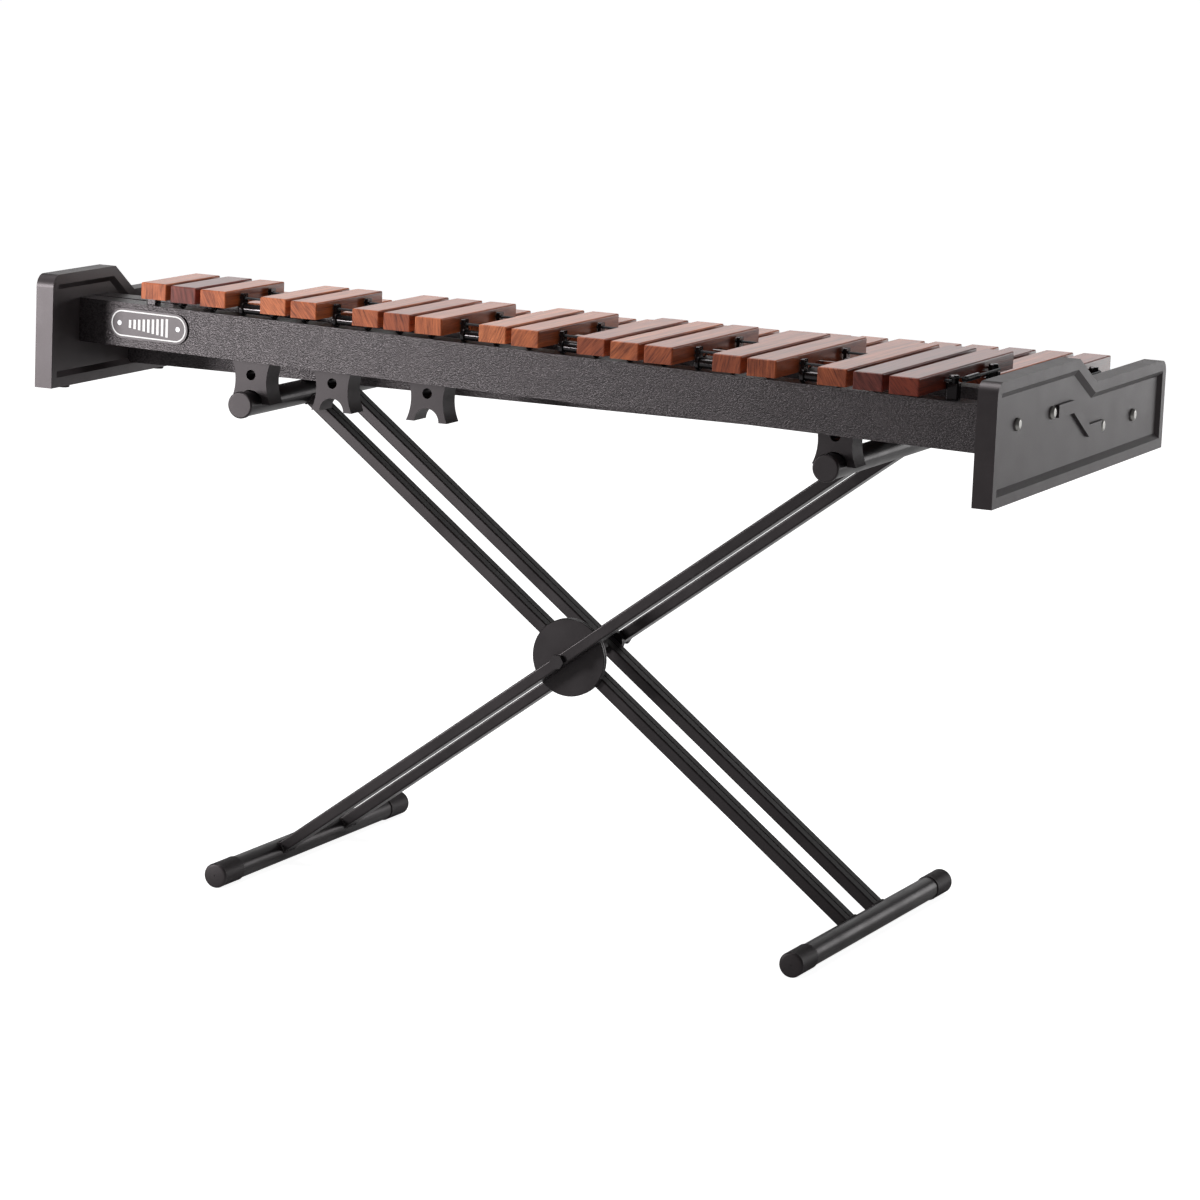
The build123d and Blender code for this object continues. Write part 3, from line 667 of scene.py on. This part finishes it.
# distance from the outer end and radius: a pit, the flat end and its rounded edge
CAP_END_PROFILE = [(0.7, 0.5), (0.0, 1.0), (0.0, 12.8), (0.35, 14.6), (1.3, 15.8), (2.6, FOOT_CAP_R)]
CAP_LIP = 0.8              # the inner end narrows to CAP_LIP_R over this length
CAP_LIP_R = 15.9
CAP_FIT = 0.1              # between the cap and the foot tube
WELD_STEP = 1.25           # from ring to ring of a bead
WELD_R = 1.7
WELD_RIPPLE = 0.45         # added to WELD_R and taken from it, in waves
WELD_RIPPLE_RATE = 2.1
WELD_JITTER = 0.15
WELD_SIDES = 8


def knurl_dip(angle, away):
    """How far the knurled sleeve dips at an angle round it and a distance from its outer end."""
    along = 2 * math.pi * (away - KNURL_START) / KNURL_PITCH
    return KNURL_DEPTH * (0.5 - 0.5 * math.cos(CAP_RIBS * angle) * math.cos(along))


def make_foot_caps(name):
    """Knurled rubber caps on both ends of a foot tube, with a small pit in the middle of each end."""
    lo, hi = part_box(name + "_foot_caps")
    x, z = (lo.x + hi.x) / 2 / MM, (lo.z + hi.z) / 2 / MM
    sides = CAP_RIBS * KNURL_STEPS
    # distance from the outer end, radius, and whether it is knurled
    profile = [(away, radius, False) for away, radius in CAP_END_PROFILE]
    for n in range(KNURL_STEPS * KNURL_ROWS + 1):
        profile.append((KNURL_START + KNURL_PITCH * n / KNURL_STEPS, FOOT_CAP_R, True))
    profile += [(FOOT_CAP_LENGTH - CAP_LIP, FOOT_CAP_R, False), (FOOT_CAP_LENGTH, CAP_LIP_R, False),
                (FOOT_CAP_LENGTH, FOOT_TUBE_R + CAP_FIT, False)]
    parts = []
    for end_y, side in ((lo.y / MM, 1), (hi.y / MM, -1)):
        rings = []
        for away, radius, knurled in profile:
            ring = []
            for n in range(sides):
                angle = 2 * math.pi * n / sides
                r = radius - knurl_dip(angle, away) if knurled else radius
                ring.append((x + r * math.cos(angle), end_y + side * away, z + r * math.sin(angle)))
            rings.append(ring if side > 0 else ring[::-1])
        parts.append(ring_mesh(rings))
    obj = mesh_piece(name + "_ribbed_caps", *in_metres(join(*parts)), "cap_plastic", name + "_leg_frame")
    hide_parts(name + "_foot_caps")


def weld_path(lean, at_top, y):
    """Points round the joint of an arm with its tube."""
    arm = Vector((2 * HALF_SPAN * lean, 0, TOP_Z - FOOT_Z)).normalized()
    if at_top:
        centre, radius, towards = Vector((lean * HALF_SPAN, y, TOP_Z)), TOP_TUBE_R, -arm
    else:
        centre, radius, towards = Vector((-lean * HALF_SPAN, y, FOOT_Z)), FOOT_TUBE_R, arm
    across = arm.cross(Vector((0, 1, 0)))
    points = []
    half_u, half_v = ARM_W / 2, ARM_D / 2
    rim = [(-half_u, -half_v), (half_u, -half_v), (half_u, half_v), (-half_u, half_v)]
    for (u0, v0), (u1, v1) in zip(rim, rim[1:] + rim[:1]):
        steps = int(max(abs(u1 - u0), abs(v1 - v0)) / WELD_STEP)
        for n in range(steps):
            u = u0 + (u1 - u0) * n / steps
            v = v0 + (v1 - v0) * n / steps
            reach = math.sqrt(radius * radius - min(u * u, radius * radius))
            points.append(centre + towards * reach + across * u + Vector((0, v, 0)))
    return points


def make_welds(name, lean):
    """Rippled beads where a frame's arms meet its tubes."""
    ripple = random.Random(3)
    parts = []
    for side in (-1, 1):
        for at_top in (False, True):
            path = weld_path(lean, at_top, STAND_Y + side * ARM_OFFSETS[name])
            sizes = []
            for n in range(len(path)):
                wave = WELD_RIPPLE * math.sin(n * WELD_RIPPLE_RATE)
                sizes.append(WELD_R + wave + ripple.uniform(-WELD_JITTER, WELD_JITTER))
            bead = tube_rings(path, lambda i: sizes[i], WELD_SIDES, closed=True)
            parts.append(ring_mesh(bead, closed=True))
    mesh_piece(name + "_welds", *in_metres(join(*parts)), "stand_steel", name + "_leg_frame")


for frame_name, frame_lean in (("outer", 1), ("inner", -1)):
    make_foot_caps(frame_name)
    make_welds(frame_name, frame_lean)


# ---------------------------------------------------------------- studio
FLOOR_HALF = 60.0
FLOOR_CLOUD_SCALE = 0.7
FLOOR_TONES = [(0.3, (0.66, 0.66, 0.66)), (0.7, (0.69, 0.69, 0.69))]
FLOOR_GLOW = 0.11          # what the floor gives to the object
FLOOR_SEEN_GLOW = 0.92     # what the camera sees of it
WORLD_GLOW = 0.13          # the same two for the world around
WORLD_SEEN_GLOW = 1.0
MIDDLE = (0, 0, 0.6)
# name, place, aim, size, power, spread in degrees
LIGHTS = [
    ("back_softbox", (-2.2, 4.8, 1.75), MIDDLE, (6.0, 1.3), 25, 180.0),
    ("key", (-2.6, -2.7, 0.95), (-0.80, -0.15, 0.68), (1.1, 1.1), 10, 44.0),
    ("side_back", (2.3, 3.9, 0.8), MIDDLE, (2.4, 1.3), 23, 180.0),
    ("top", (-0.6, -0.2, 4.0), MIDDLE, (2.2, 2.2), 98, 180.0),
]


def make_floor():
    half = FLOOR_HALF
    mesh = bpy.data.meshes.new("floor")
    mesh.from_pydata([(-half, -half, 0), (half, -half, 0), (half, half, 0), (-half, half, 0)], [],
                     [(0, 1, 2, 3)])
    floor = bpy.data.objects.new("floor", mesh)
    bpy.context.collection.objects.link(floor)
    paint = Paint("floor", Roughness=0.95, Specular_IOR_Level=0.1, Emission_Color=(1, 1, 1, 1))
    cloud = paint.noise(FLOOR_CLOUD_SCALE, detail=2.0)
    seen = paint.add("LightPath").outputs["Is Camera Ray"]
    paint.use(Base_Color=paint.ramp(cloud, FLOOR_TONES),
              Emission_Strength=paint.range(seen, FLOOR_GLOW, FLOOR_SEEN_GLOW))
    mesh.materials.append(paint.material)


def add_light(name, place, aim, size, power, spread):
    data = bpy.data.lights.new(name, "AREA")
    data.shape = "RECTANGLE"
    data.size, data.size_y = size
    data.energy = power
    data.spread = math.radians(spread)
    light = bpy.data.objects.new(name, data)
    light.location = place
    light.rotation_mode = "QUATERNION"
    light.rotation_quaternion = (Vector(aim) - Vector(place)).to_track_quat("-Z", "Y")
    light.visible_camera = False
    bpy.context.collection.objects.link(light)


def make_world():
    world = bpy.data.worlds.new("studio")
    world.use_nodes = True
    tree = world.node_tree
    background = tree.nodes["Background"]
    background.inputs["Color"].default_value = (1, 1, 1, 1)
    seen = tree.nodes.new("ShaderNodeLightPath").outputs["Is Camera Ray"]
    strength = tree.nodes.new("ShaderNodeMapRange")
    strength.inputs["To Min"].default_value = WORLD_GLOW
    strength.inputs["To Max"].default_value = WORLD_SEEN_GLOW
    tree.links.new(seen, strength.inputs["Value"])
    tree.links.new(strength.outputs["Result"], background.inputs["Strength"])
    bpy.context.scene.world = world


def make_studio():
    make_floor()
    make_world()
    for light in LIGHTS:
        add_light(*light)
    bpy.context.scene.view_settings.view_transform = "Standard"


make_studio()
